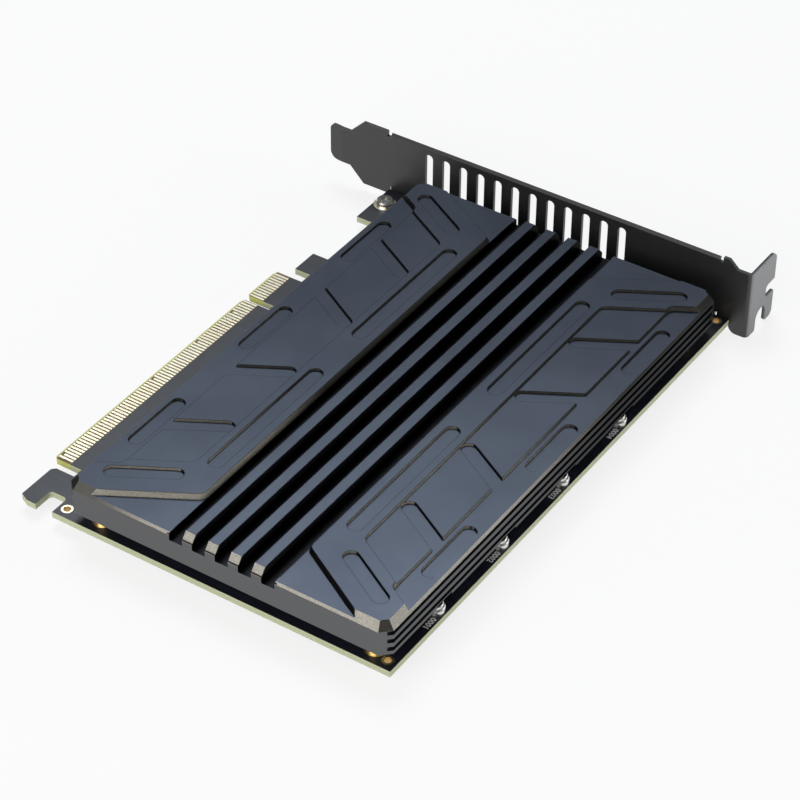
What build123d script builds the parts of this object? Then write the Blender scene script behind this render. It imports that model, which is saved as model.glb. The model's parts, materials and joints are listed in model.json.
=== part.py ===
from build123d import *
import math
import os

os.makedirs("parts", exist_ok=True)

# An adapter card that carries four solid-state modules under one milled heatsink.
# X runs across the card, from the edge contacts (-X) to the bracket's screw tab (+X).
# Y runs along the card, from its free end (-Y) to the bracket (+Y). Z is up, out of the heatsink.
# The origin is the bottom centre of the card's own box. Lengths are in millimetres.

# A module, which sets the card's width, and the heatsink block over it
module_length = 80.0
sink_past_module = 4.1
sink_width = module_length + sink_past_module
sink_length = 139.4
sink_height = 8.3
sink_corner = 2.3
sink_bevel_height = 1.85
sink_bevel_angle = 40

# Levels and slopes of the milled pattern
level_depth = 0.65
wall_angle = 15
ramp_angle = 24
pattern_slope = 30
pattern_corner = 2.0

# Fins between the two panels
fin_count = 4
fin_width = 2.6
fin_pitch = 6.0
outer_groove = 3.45
groove_depth = 3.3

# Recesses of a panel, measured from the block's side or from its end
ramp_end = 12.3
field_from_side = 19.9
field_end = 20.7
strip_from_side = 6.8
strip_end = 11.6
channel_width = 3.8
channel_reach = 8.0
channel_offsets = (41.2, 17.7)
channel_from_side = 6.5
side_pill_from_side = 3.45
side_pill_width = 3.7
side_pill_length = 18.7
side_pill_spacing = 41.2
inner_pill_from_side = 23.7
inner_pill_width = 3.8
inner_pill_length = 41.3
inner_pill_spacing = 55.5
end_pill_from_side = 12.75
end_pill_from_end = 10.9
end_pill_width = 3.8
end_pill_length = 17.7
front_left_inset = 0.8

# Grooves along the block's two long sides
side_groove_count = 3
side_groove_height = 1.1
side_groove_pitch = 2.2
side_groove_first = 1.9
side_groove_depth = 1.0

# Circuit board
board_thickness = 1.6
sink_gap = 3.8
sink_overhang = 0.7
board_past_sink_right = 0.2
board_past_sink_left = 8.4
tooling_hole_radius = 0.95
tooling_hole_from_side = 2.3
tooling_hole_from_left = 2.7
tooling_hole_from_front = 2.6
tooling_hole_from_back = 2.05

# Edge contacts: a long and a short row with the key notch between them
edge_reach = 8.0
edge_start = 15.5
long_row_length = 71.65
key_notch = 1.9
short_row_length = 11.65
edge_corner = 0.9
edge_bevel_run = 0.8
edge_bevel_depth = 0.45
long_row_contact_count = 71
short_row_contact_count = 11
contact_pitch = 1.0
contact_width = 0.6
contact_length = 3.9
contact_setback = 0.8
contact_thickness = 0.05
short_contact_cut = 0.6
short_contacts = (17, 31, 48, 81)
contact_margin = 1.13
short_row_margin = 0.58

# Lugs along the contact side: the latch hook at the front and two plain tabs
hook_reach = 5.9
hook_length = 12.1
hook_nose = 2.3
hook_chamfer = 0.9
latch_slot_width = 4.7
latch_slot_depth = 5.4
latch_slot_from_hook = 4.7
latch_slot_corner = 1.0
tab_reach_left = 4.4
middle_tab_start = 104.2
middle_tab_length = 7.6
rear_tab_length = 14.55

# Bracket: one folded sheet
bracket_sheet = 0.86
bend_radius = 0.3
bracket_height = 18.42
bracket_to_sink = 6.25
board_to_bracket = 0.3
tab_past_board = 4.9
tab_depth = 11.43
tab_drop = 2.2
tab_corner_top = 2.0
tab_corner_bottom = 1.5
tab_step_from_face = 5.17
tab_step_corner = 2.1
shoulder_from_face = 4.0
shoulder_top_from_face = 6.4
screw_slot_width = 4.9
screw_slot_depth = 5.35
screw_slot_from_plate = 5.5
screw_prong_corner = 0.5
tab_notch_height = 3.55
tab_notch_depth = 4.2
tab_notch_top = 7.85
tongue_height = 10.19
tongue_length = 6.2
tongue_corner_top = 1.5
tongue_corner_bottom = 2.2
tongue_bend_length = 3.7
tongue_bend_angle = 6
tongue_bend_radius = 3.0
lip_rise = 0.95
lip_length = 0.9
lip_angle = 45
lip_relief = 1.1
lip_relief_depth = 0.5
lip_from_face = 9.0
vent_count = 12
vent_width = 2.2
vent_height = 12.0
vent_pitch = 5.01
vent_top = 2.45
vent_from_sink_left = -1.2
ear_width = 4.9
ear_hole_reach = 6.35
ear_relief = 0.65
ear_relief_height = 2.2
left_ear_past_board = 1.7
right_ear_from_board_right = 6.6
plate_past_ear = 7.685

# Screws, standoffs and the clearances between them
thread_clearance = 0.05
screw_hole_clearance = 0.1
screw_radius = 1.25
screw_head_radius = 2.3
screw_head_height = 1.4
screw_head_bevel = 0.4
screw_recess = 0.5
screw_recess_length = 2.4
screw_recess_depth = 0.7
sink_screw_bite = 4.0
sink_hole_extra = 0.8
standoff_radius = 2.0
standoff_from_left = 6.2
standoff_from_end = 5.0
bracket_screw_length = 3.2

# Sockets for the modules, with the post and screw that hold each module's far end
bay_count = 4
bay_pitch = 25.2
first_bay = 21.5
module_insert = 4.0
module_lift = 1.5
socket_depth = 8.7
socket_width = 21.9
socket_height = 3.2
socket_slot_width = 20.0
socket_slot_height = 0.95
socket_slot_depth = 5.2
socket_key_width = 1.1
socket_key_offset = 6.1
socket_lead_in = 0.4
post_from_right = 2.3
post_radius = 2.2
post_chamfer = 0.25
small_screw_radius = 0.95
small_head_radius = 1.8
small_head_height = 0.8
small_head_bevel = 0.2
small_recess_length = 2.0
small_recess = 0.4
small_recess_depth = 0.4
pocket_width = 5.8
pocket_depth = 0.6
pocket_length = 5.2
pad_length = 64.0
pad_width = 20.0
pad_thickness = 0.5
pad_gap = 6.0

# Electronics between the last bay and the bracket, under the heatsink
chip_lead_in = 0.15
buffer_size = 6.0
buffer_height = 0.9
buffer_from_left = 22.0
parts_from_back = 18.5
regulator_length = 5.0
regulator_width = 6.0
regulator_height = 1.0
regulator_from_left = 40.0
choke_size = 7.0
choke_height = 3.0
choke_chamfer = 0.8
choke_gap = 3.0
stage_pitch = 18.0
capacitor_length = 3.2
capacitor_width = 1.6
capacitor_height = 1.5
capacitor_pitch = 4.0
capacitor_count = 4
capacitor_gap = 2.2

# Heights of the faces that the pieces share
board_bottom = tab_drop
board_top = board_bottom + board_thickness
sink_bottom = board_top + sink_gap
bracket_top = board_bottom + bracket_height

# Places across the card. The plate runs past its left ear, then tapers to the tongue
board_width = board_past_sink_left + sink_width + board_past_sink_right
taper_length = (bracket_height - tongue_height) / 2
ear_to_tip = ear_width / 2 + ear_relief + plate_past_ear + taper_length + tongue_length
bracket_length = tab_past_board + board_width + left_ear_past_board + ear_to_tip
face_x = bracket_length / 2
tip_x = -bracket_length / 2
board_right = face_x - tab_past_board
sink_right = board_right - board_past_sink_right
sink_left = sink_right - sink_width
sink_x = sink_right - sink_width / 2
board_left = sink_left - board_past_sink_left
edge_left = board_left - edge_reach

# Places along the card
card_length = sink_length + bracket_to_sink + bracket_sheet + tab_depth
sink_front = -card_length / 2
sink_back = sink_front + sink_length
sink_y = sink_front + sink_length / 2
bracket_inner = sink_back + bracket_to_sink
bracket_outer = bracket_inner + bracket_sheet
tab_end = bracket_outer + tab_depth
board_front = sink_front + sink_overhang
board_back = bracket_inner - board_to_bracket

# Places of what repeats
bay_y = [sink_front + first_bay + i * bay_pitch for i in range(bay_count)]
post_x = sink_right - post_from_right
standoff_places = [
    (x, y)
    for y in (sink_front + standoff_from_end, sink_back - standoff_from_end)
    for x in (sink_left + standoff_from_left, sink_right - standoff_from_left)
]
ear_y = bracket_inner - ear_hole_reach
ear_places = {
    "left": board_left - left_ear_past_board,
    "right": board_right - right_ear_from_board_right,
}
tooling_holes = [
    (x, y)
    for x in (sink_left - tooling_hole_from_left, board_right - tooling_hole_from_side)
    for y in (board_front + tooling_hole_from_front, board_back - tooling_hole_from_back)
]


def area(x0, x1, y0, y1):
    """A rectangle given by its four sides."""
    return Pos((x0 + x1) / 2, (y0 + y1) / 2) * Rectangle(x1 - x0, y1 - y0)


def block(x0, x1, y0, y1, z0, z1):
    """A box given by its six faces."""
    return Pos(0, 0, z0) * extrude(area(x0, x1, y0, y1), z1 - z0)


def disc(x, y, z, radius, height):
    """An upright cylinder that stands on z."""
    return Pos(x, y, z) * extrude(Circle(radius), height)


def pill(x, y, length, width, turn=90):
    """A round-ended slot about x, y, along Y unless it is turned."""
    return Pos(x, y) * Rot(0, 0, turn) * SlotOverall(length, width)


def round_corners(sketch, places, radius):
    """Fillets the sketch's corners that lie at the given places."""
    found = [v for v in sketch.vertices() for p in places if (Vector(*p) - v.center()).length < 0.01]
    return fillet(found, radius)


def both_sides(shape):
    """The shape and its mirror image across the block's middle plane."""
    return shape + mirror(shape, Plane.YZ)


def both_ends(shape):
    """The shape and its mirror image towards the block's other end."""
    return shape + mirror(shape, Plane.XZ)


def wall_run(depth, angle=wall_angle):
    """How far a sloping wall runs inwards over a depth."""
    return depth * math.tan(math.radians(angle))


def recess(sketch, level, depth, angle=wall_angle):
    """A milled recess with sloping walls. Its outline is drawn at the level where it starts."""
    cutter = extrude(sketch, depth, dir=(0, 0, -1), taper=angle)
    return Pos(0, 0, sink_height - level) * cutter


def centre_recess():
    """The sunk middle between the two panels, which widens to a ramp at both ends."""
    half_floor = (fin_count - 1) * fin_pitch / 2 + fin_width / 2 + outer_groove
    half_channel = half_floor + wall_run(2 * level_depth, ramp_angle)
    past = sink_length / 2 + sink_corner
    corners = []
    shoulders = []
    for side, end in ((1, -1), (-1, -1), (-1, 1), (1, 1)):
        shoulder = sink_length / 2 - ramp_end - corner_inset(side, end)
        flare = (past - shoulder) / math.tan(math.radians(pattern_slope))
        pair = [(side * half_channel, end * shoulder), (side * (half_channel + flare), end * past)]
        shoulders.append(pair[0])
        corners += pair if side * end < 0 else pair[::-1]
    outline = make_face(Polyline(*corners, close=True))
    outline = round_corners(outline, shoulders, pattern_corner)
    fins = [Pos(x, 0) * Rectangle(fin_width, 2 * past) for x in fin_rows()]
    sunk = recess(outline, 0, 2 * level_depth, ramp_angle)
    grooves = Rectangle(2 * half_floor, 2 * past) - fins
    deep = Pos(0, 0, sink_height) * extrude(grooves, groove_depth, dir=(0, 0, -1))
    return sunk - [extrude(fin, sink_height) for fin in fins] + deep


def corner_inset(side, end):
    """How much further in the pattern starts at a corner. Only the front left one differs."""
    return front_left_inset if side < 0 and end < 0 else 0


def fin_rows():
    return [(i - (fin_count - 1) / 2) * fin_pitch for i in range(fin_count)]


def side_outline(from_side, end):
    """A field that runs out over the block's side, with sloping ends."""
    inner = sink_width / 2 - from_side
    outer = sink_width / 2 + sink_corner
    corner = sink_length / 2 - end
    fall = (outer - inner) * math.tan(math.radians(pattern_slope))
    points = [(inner, -corner), (outer, -corner - fall), (outer, corner + fall), (inner, corner)]
    outline = make_face(Polyline(*points, close=True))
    return round_corners(outline, [points[0], points[3]], pattern_corner)


def panel_recesses():
    """The levels, channels and pills of the right-hand panel, in the block's own frame."""
    half_width = sink_width / 2
    field = side_outline(field_from_side, field_end)
    strip = side_outline(strip_from_side, strip_end)
    cuts = [recess(field, 0, level_depth), recess(strip, 0, 2 * level_depth)]

    inner_centre = half_width - field_from_side + wall_run(level_depth) + channel_width / 2
    outer_centre = half_width - strip_from_side + channel_reach
    run = (outer_centre - inner_centre) / math.cos(math.radians(pattern_slope))
    for offset in channel_offsets:
        rise = (half_width - channel_from_side - inner_centre) * math.tan(math.radians(pattern_slope))
        shape = pill(run / 2, 0, run + channel_width, channel_width, 0)
        shape = Pos(inner_centre, rise - offset) * Rot(0, 0, -pattern_slope) * shape
        cuts.append(both_ends(recess(shape, level_depth, level_depth)))

    side_x = half_width - side_pill_from_side
    for row in (-1, 0, 1):
        shape = pill(side_x, row * side_pill_spacing, side_pill_length, side_pill_width)
        cuts.append(recess(shape, 2 * level_depth, level_depth))

    inner_x = half_width - inner_pill_from_side
    shape = pill(inner_x, -inner_pill_spacing / 2, inner_pill_length, inner_pill_width)
    cuts.append(both_ends(recess(shape, 0, level_depth)))
    return cuts


def end_pills():
    """The slanted pills near the block's four corners."""
    cuts = []
    for side in (-1, 1):
        for end in (-1, 1):
            x = side * (sink_width / 2 - end_pill_from_side)
            y = end * (sink_length / 2 - end_pill_from_end - corner_inset(side, end))
            shape = pill(x, y, end_pill_length, end_pill_width, side * end * pattern_slope)
            cuts.append(recess(shape, 0, level_depth))
    return cuts


def heatsink():
    """One aluminium block: fins, stepped panels, side grooves, screw holes and clearance pockets."""
    outline = Rectangle(sink_width, sink_length)
    outline = chamfer(outline.vertices(), sink_corner)
    shoulder = sink_height - sink_bevel_height
    body = extrude(outline, shoulder)
    body += Pos(0, 0, shoulder) * extrude(outline, sink_bevel_height, taper=sink_bevel_angle)
    body -= centre_recess()
    for cut in panel_recesses():
        body -= both_sides(cut)
    body -= end_pills()
    for i in range(side_groove_count):
        top = sink_height - side_groove_first - i * side_groove_pitch
        inner = sink_width / 2 - side_groove_depth
        groove = block(inner, sink_width, -sink_length, sink_length, top - side_groove_height, top)
        body -= both_sides(groove)
    body = Pos(sink_x, sink_y, sink_bottom) * body
    for y in bay_y:
        pocket = (sink_right - pocket_length, sink_right + 1, y - pocket_width / 2, y + pocket_width / 2)
        body -= block(*pocket, sink_bottom - 1, sink_bottom + pocket_depth)
    hole_depth = sink_screw_bite + sink_hole_extra
    for x, y in standoff_places:
        body -= disc(x, y, sink_bottom, screw_radius + thread_clearance, hole_depth)
    return body


def board_outline():
    """The board seen from above: the body, the edge rows, the latch hook and the two tabs."""
    row_start = sink_front + edge_start
    notch_start = row_start + long_row_length
    notch_end = notch_start + key_notch
    row_end = notch_end + short_row_length
    outline = area(board_left, board_right, board_front, board_back)
    for start, end in ((row_start, notch_start), (notch_end, row_end)):
        row = area(edge_left, board_left, start, end)
        corners = row.vertices().sort_by(Axis.X)[:2]
        outline += chamfer(corners, edge_corner)

    hook_left = board_left - hook_reach
    hook_end = board_front + hook_length
    hook = Polyline(
        (board_left, board_front),
        (hook_left + hook_nose, board_front),
        (hook_left, board_front + hook_nose / 2),
        (hook_left, hook_end - hook_chamfer),
        (hook_left + hook_chamfer, hook_end),
        (board_left, hook_end),
        close=True,
    )
    outline += make_face(hook)
    slot_left = hook_left + latch_slot_from_hook
    slot_right = slot_left + latch_slot_width
    slot_end = board_front + latch_slot_depth
    slot = area(slot_left, slot_right, board_front - 1, slot_end)
    outline -= round_corners(slot, [(slot_left, slot_end), (slot_right, slot_end)], latch_slot_corner)

    middle_start = sink_front + middle_tab_start
    tab_left = board_left - tab_reach_left
    outline += area(tab_left, board_left, middle_start, middle_start + middle_tab_length)
    outline += area(tab_left, board_left, board_back - rear_tab_length, board_back)
    return outline


def circuit_board():
    """The bare board, with its bevelled contact edge and its holes."""
    board = Pos(0, 0, board_bottom) * extrude(board_outline(), board_thickness)
    row_start = sink_front + edge_start
    row_end = row_start + long_row_length + key_notch + short_row_length
    for face, way in ((board_top, -1), (board_bottom, 1)):
        wedge = Polyline(
            (edge_left, face),
            (edge_left + edge_bevel_run, face),
            (edge_left, face + way * edge_bevel_depth),
            close=True,
        )
        profile = Plane.XZ.offset(-row_start) * make_face(wedge)
        board -= extrude(profile, row_end - row_start, dir=(0, 1, 0))
    hole = screw_radius + screw_hole_clearance
    for x, y in standoff_places:
        board -= disc(x, y, board_bottom, hole, board_thickness)
    for x in ear_places.values():
        board -= disc(x, ear_y, board_bottom, hole, board_thickness)
    for x, y in tooling_holes:
        board -= disc(x, y, board_bottom, tooling_hole_radius, board_thickness)
    return board


def edge_contacts():
    """The plated contacts of the edge, one row on each face of the board."""
    contacts = []
    row_start = sink_front + edge_start
    short_start = row_start + long_row_length + key_notch
    total = long_row_contact_count + short_row_contact_count
    for number in range(1, total + 1):
        if number > short_row_contact_count:
            y = row_start + contact_margin + (total - number) * contact_pitch
        else:
            y = short_start + short_row_margin + (short_row_contact_count - number) * contact_pitch
        cut = short_contact_cut if number in short_contacts else 0
        start = edge_left + contact_setback + cut
        end = edge_left + contact_setback + contact_length
        size = (start, end, y - contact_width / 2, y + contact_width / 2)
        contacts.append(block(*size, board_top, board_top + contact_thickness))
        contacts.append(block(*size, board_bottom - contact_thickness, board_bottom))
    return Compound(children=contacts)


def bracket_plate_outline():
    """The plate seen from the front of the card, in X and Z."""
    mid = (board_bottom + bracket_top) / 2
    high = mid + tongue_height / 2
    low = mid - tongue_height / 2
    neck = tip_x + tongue_length
    shoulder = neck + taper_length
    step = face_x - tab_step_from_face
    points = [
        (tip_x, low),
        (neck, low),
        (shoulder, board_bottom),
        (step, board_bottom),
        (step, 0),
        (face_x, 0),
        (face_x, bracket_height),
        (face_x - shoulder_from_face, bracket_height),
        (face_x - shoulder_top_from_face, bracket_top),
        (shoulder, bracket_top),
        (neck, high),
        (tip_x, high),
    ]
    outline = make_face(Polyline(*points, close=True))
    outline = round_corners(outline, [points[0]], tongue_corner_bottom)
    outline = round_corners(outline, [points[11]], tongue_corner_top)
    return round_corners(outline, [points[4]], tab_step_corner)


def lip_span():
    """The stretch of the plate's top edge that is bent outwards."""
    left = ear_places["left"] - ear_width / 2
    right = face_x - lip_from_face
    return left, right


def bracket():
    """The folded sheet: plate, tongue, screw tab, bent lip and two ears under the board."""
    mid_y = (bracket_inner + bracket_outer) / 2
    mid_tab = face_x - bracket_sheet / 2
    tip_shift = tongue_bend_length * math.tan(math.radians(tongue_bend_angle))
    path = FilletPolyline(
        (tip_x - 1, mid_y + tip_shift * (tongue_bend_length + 1) / tongue_bend_length),
        (tip_x + tongue_bend_length, mid_y),
        (mid_tab, mid_y),
        (mid_tab, tab_end),
        radius=[tongue_bend_radius, bend_radius + bracket_sheet / 2],
    )
    sheet = extrude(trace(path, bracket_sheet), bracket_top)
    across = Plane.XZ.offset(-bracket_inner + 1) * bracket_plate_outline()
    sheet &= extrude(across, tab_depth + bracket_sheet + 2, dir=(0, 1, 0))
    sheet &= extrude(Plane.YZ.offset(tip_x - 1) * tab_side_outline(), bracket_length + 2)

    lip_left, lip_right = lip_span()
    lip_base = bracket_top - lip_rise
    over = (bracket_inner - 1, bracket_outer + 1)
    sheet -= block(lip_left - lip_relief, lip_right + lip_relief, *over, lip_base, bracket_top + 1)
    for x in (lip_left - lip_relief, lip_right):
        sheet -= block(x, x + lip_relief, *over, lip_base - lip_relief_depth, bracket_top)
    sheet += bent_lip(lip_left, lip_right, lip_base)

    first_vent = sink_left + vent_from_sink_left
    vents = [
        pill(first_vent + i * vent_pitch, bracket_top - vent_top - vent_height / 2, vent_height, vent_width)
        for i in range(vent_count)
    ]
    for vent in vents:
        sheet -= extrude(Plane.XZ.offset(-bracket_outer - 1) * vent, bracket_sheet + 2)

    for x in ear_places.values():
        half = ear_width / 2
        for side in (x - half - ear_relief, x + half):
            sheet -= block(side, side + ear_relief, *over, 0, board_bottom + ear_relief_height)
        sheet -= block(x - half, x + half, *over, 0, board_bottom + bracket_sheet)
        sheet += ear(x)
    return sheet


def tab_side_outline():
    """The side view in Y and Z. The tab is as wide as the bracket and hangs lower by its drop."""
    top = bracket_height
    tab = area(bracket_outer, tab_end, 0, top)
    tab = round_corners(tab, [(tab_end, top)], tab_corner_top)
    tab = round_corners(tab, [(tab_end, 0)], tab_corner_bottom)
    notch_y = tab_end - tab_notch_depth
    notch_z = top - tab_notch_top
    notch = area(notch_y, tab_end + 1, notch_z - tab_notch_height, notch_z)
    inner = [(notch_y, notch_z - tab_notch_height), (notch_y, notch_z)]
    tab -= round_corners(notch, inner, tab_notch_height / 3)
    slot_y = bracket_outer + screw_slot_from_plate
    radius = screw_slot_width / 2
    tab -= area(slot_y - radius, slot_y + radius, -1, screw_slot_depth - radius)
    tab -= Pos(slot_y, screw_slot_depth - radius) * Circle(radius)
    tab = round_corners(tab, [(slot_y - radius, 0), (slot_y + radius, 0)], screw_prong_corner)
    return tab + area(bracket_inner - 1, bracket_outer, -1, bracket_top + 1)


def bent_lip(left, right, base):
    """The top edge of the plate, bent outwards."""
    turn = math.radians(lip_angle)
    end = Vector(bracket_inner + lip_length * math.cos(turn), base + lip_length * math.sin(turn))
    outer_end = end + Vector(bracket_sheet * math.sin(turn), -bracket_sheet * math.cos(turn))
    fold = base - bracket_sheet * math.tan(turn / 2)
    profile = Polyline(
        (bracket_inner, fold),
        (bracket_inner, base),
        (end.X, end.Y),
        (outer_end.X, outer_end.Y),
        (bracket_outer, fold),
        close=True,
    )
    return extrude(Plane.YZ.offset(left) * make_face(profile), right - left)


def ear(x):
    """A tongue folded under the board, with the tapped hole for the bracket's screw."""
    mid_y = (bracket_inner + bracket_outer) / 2
    mid_z = board_bottom - bracket_sheet / 2
    end_y = ear_y - ear_width / 2
    path = FilletPolyline(
        (mid_y, board_bottom + bracket_sheet),
        (mid_y, mid_z),
        (end_y, mid_z),
        radius=bend_radius + bracket_sheet / 2,
    )
    folded = extrude(Plane.YZ.offset(x - ear_width / 2) * trace(path, bracket_sheet), ear_width)
    plan = area(x - ear_width / 2, x + ear_width / 2, ear_y, bracket_outer)
    plan += Pos(x, ear_y) * Circle(ear_width / 2)
    folded &= extrude(plan, bracket_top)
    return folded - disc(x, ear_y, 0, screw_radius + thread_clearance, board_bottom)


def cross_recess(length, width, depth):
    """The cross that a screwdriver fits, cut down from z = 0."""
    arms = Rectangle(length, width) + Rectangle(width, length)
    return extrude(arms, depth, dir=(0, 0, -1))


def screw(radius, length, head_radius, head_height, head_bevel, recess_length, recess_width, recess_depth):
    """A cheese-head screw that hangs from z = 0, with its head above."""
    head = disc(0, 0, 0, head_radius, head_height)
    head = chamfer(head.edges().sort_by(Axis.Z)[-1], head_bevel)
    head -= Pos(0, 0, head_height) * cross_recess(recess_length, recess_width, recess_depth)
    return head + disc(0, 0, -length, radius, length)


def card_screw(length):
    head = (screw_head_radius, screw_head_height, screw_head_bevel)
    return screw(screw_radius, length, *head, screw_recess_length, screw_recess, screw_recess_depth)


def heatsink_screw(x, y):
    """Enters from the board's back, runs through the standoff and bites into the heatsink."""
    length = board_thickness + sink_gap + sink_screw_bite
    return Pos(x, y, board_bottom) * Rot(180, 0, 0) * card_screw(length)


def heatsink_standoff(x, y):
    """A brass sleeve between the board and the heatsink."""
    ring = Circle(standoff_radius) - Circle(screw_radius + screw_hole_clearance)
    return Pos(x, y, board_top) * extrude(ring, sink_gap)


def bracket_screw(x):
    """Clamps the board to the bracket's ear."""
    return Pos(x, ear_y, board_top) * card_screw(bracket_screw_length)


def module_socket(y):
    """The connector that a module's edge slides into, with its key and lead-in."""
    face = post_x - module_length + module_insert
    housing = block(face - socket_depth, face, y - socket_width / 2, y + socket_width / 2, 0, socket_height)
    housing = chamfer(housing.faces().sort_by(Axis.Z)[-1].edges(), socket_lead_in)
    low = module_lift
    high = low + socket_slot_height
    half = socket_slot_width / 2
    slot = block(face - socket_slot_depth, face + 1, y - half, y + half, low, high)
    mouth = Polyline(
        (face - socket_lead_in, low),
        (face, low - socket_lead_in),
        (face, high + socket_lead_in),
        (face - socket_lead_in, high),
        close=True,
    )
    slot += extrude(Plane.XZ.offset(-(y + half)) * make_face(mouth), socket_slot_width)
    key_y = y + socket_key_offset
    key = (face - socket_slot_depth, face, key_y - socket_key_width / 2, key_y + socket_key_width / 2)
    slot -= block(*key, 0, socket_height)
    return Pos(0, 0, board_top) * (housing - slot)


def module_post(y):
    """The tapped post that carries the far end of a module."""
    post = disc(0, 0, 0, post_radius, module_lift)
    post = chamfer(post.edges().sort_by(Axis.Z)[-1], post_chamfer)
    post -= disc(0, 0, 0, small_screw_radius + thread_clearance, module_lift)
    return Pos(post_x, y, board_top) * post


def module_screw(y):
    """The small screw that waits in its post for a module."""
    head = (small_head_radius, small_head_height, small_head_bevel)
    cross = (small_recess_length, small_recess, small_recess_depth)
    small = screw(small_screw_radius, module_lift, *head, *cross)
    return Pos(post_x, y, board_top + module_lift) * small


def thermal_pad(y):
    """The soft strip under the heatsink that presses on a module."""
    left = post_x - module_length + module_insert + pad_gap
    size = (left, left + pad_length, y - pad_width / 2, y + pad_width / 2)
    return block(*size, sink_bottom - pad_thickness, sink_bottom)


def flat_chip(x, y, length, width, height):
    """A moulded chip body with a small bevel round its top."""
    base = area(x - length / 2, x + length / 2, y - width / 2, y + width / 2)
    body = Pos(0, 0, board_top) * extrude(base, height)
    return chamfer(body.faces().sort_by(Axis.Z)[-1].edges(), chip_lead_in)


def stage_places():
    """The two supply stages, side by side across the card."""
    y = sink_back - parts_from_back
    left = sink_left + regulator_from_left
    return [(left, y), (left + stage_pitch, y)]


def buffer_place():
    return sink_left + buffer_from_left, sink_back - parts_from_back


def clock_buffer():
    x, y = buffer_place()
    return flat_chip(x, y, buffer_size, buffer_size, buffer_height)


def regulators():
    chips = [flat_chip(x, y, regulator_length, regulator_width, regulator_height) for x, y in stage_places()]
    return Compound(children=chips)


def inductors():
    """A moulded choke beside each regulator, with its corners cut."""
    chokes = []
    for x, y in stage_places():
        centre = y + regulator_width / 2 + choke_gap + choke_size / 2
        base = chamfer(Rectangle(choke_size, choke_size).vertices(), choke_chamfer)
        body = Pos(x, centre, board_top) * extrude(base, choke_height)
        chokes.append(chamfer(body.faces().sort_by(Axis.Z)[-1].edges(), chip_lead_in))
    return Compound(children=chokes)


def ceramic_capacitors():
    """Rows of small capacitors in front of the regulators and the buffer."""
    row = []
    for x, y in stage_places() + [buffer_place()]:
        front = y - regulator_width / 2 - capacitor_gap - capacitor_length / 2
        for i in range(capacitor_count):
            centre = x + (i - (capacitor_count - 1) / 2) * capacitor_pitch
            row.append(flat_chip(centre, front, capacitor_width, capacitor_length, capacitor_height))
    return Compound(children=row)


def all_nodes():
    """Every piece of the card by the name of its file."""
    nodes = {
        "circuit_board": circuit_board(),
        "edge_contacts": edge_contacts(),
        "heatsink": heatsink(),
        "bracket": bracket(),
        "clock_buffer": clock_buffer(),
        "regulators": regulators(),
        "inductors": inductors(),
        "ceramic_capacitors": ceramic_capacitors(),
    }
    for i, y in enumerate(bay_y, start=1):
        nodes[f"m2_socket_{i}"] = module_socket(y)
        nodes[f"m2_standoff_{i}"] = module_post(y)
        nodes[f"m2_screw_{i}"] = module_screw(y)
        nodes[f"thermal_pad_{i}"] = thermal_pad(y)
    for i, (x, y) in enumerate(standoff_places, start=1):
        nodes[f"heatsink_standoff_{i}"] = heatsink_standoff(x, y)
        nodes[f"heatsink_screw_{i}"] = heatsink_screw(x, y)
    for side, x in ear_places.items():
        nodes[f"bracket_screw_{side}"] = bracket_screw(x)
    return nodes


for name, shape in all_nodes().items():
    export_step(shape, f"parts/{name}.step")
    print(name, round(shape.volume, 2))
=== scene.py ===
# %% [markdown]
# # A storage adapter card, dressed for its photograph
# The card is already built as solid pieces at their real sizes. This lesson loads those pieces as a
# fixed frame, sets the camera, gives every piece a finish made of nodes, and adds the small parts that
# a solid model leaves out: plated rings and pads, printed numbers, and the sockets' stamped contacts.

# %% Load the frame
import json
import math

import bmesh
import bpy
from mathutils import Matrix, Vector


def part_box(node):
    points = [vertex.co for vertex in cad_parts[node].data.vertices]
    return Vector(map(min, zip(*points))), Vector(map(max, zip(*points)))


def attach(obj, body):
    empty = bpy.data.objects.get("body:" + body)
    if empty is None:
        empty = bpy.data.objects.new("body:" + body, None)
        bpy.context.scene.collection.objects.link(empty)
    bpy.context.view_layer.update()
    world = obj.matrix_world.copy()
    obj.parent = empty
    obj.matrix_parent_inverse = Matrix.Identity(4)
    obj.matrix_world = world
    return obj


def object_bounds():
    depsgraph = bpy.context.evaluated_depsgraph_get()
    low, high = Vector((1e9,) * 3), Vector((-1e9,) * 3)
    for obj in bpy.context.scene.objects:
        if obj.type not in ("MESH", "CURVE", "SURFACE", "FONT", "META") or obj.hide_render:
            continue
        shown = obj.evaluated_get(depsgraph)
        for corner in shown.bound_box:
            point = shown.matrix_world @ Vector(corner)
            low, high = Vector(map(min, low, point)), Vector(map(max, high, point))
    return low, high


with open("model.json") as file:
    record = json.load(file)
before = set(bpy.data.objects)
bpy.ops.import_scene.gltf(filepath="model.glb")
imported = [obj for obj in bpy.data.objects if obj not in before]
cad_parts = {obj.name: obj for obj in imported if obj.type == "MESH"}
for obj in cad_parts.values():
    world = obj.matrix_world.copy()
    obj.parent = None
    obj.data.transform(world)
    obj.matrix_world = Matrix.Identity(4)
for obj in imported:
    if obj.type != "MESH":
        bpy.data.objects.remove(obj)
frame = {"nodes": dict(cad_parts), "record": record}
nodes = frame["nodes"]
cad_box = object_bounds()
print("nodes", len(nodes), "box in mm", [round(1000 * v, 1) for v in cad_box[1] - cad_box[0]])

# %% [markdown]
# ## Places that the rest is worked out from
# Each new piece takes its place from a piece of the frame, so it stays seated if a size changes.
# Blender's unit is the metre, so a small helper turns millimetres into metres.


# %% Key places
def mm(value):
    return value / 1000


board_low, board_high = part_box("circuit_board")
sink_low, sink_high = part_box("heatsink")
bracket_outer_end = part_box("bracket")[1].x
board_top = board_high.z
board_bottom = board_low.z
middle = (cad_box[0] + cad_box[1]) / 2
print("board top", round(1000 * board_top, 2), "heatsink top", round(1000 * sink_high.z, 2))

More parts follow.
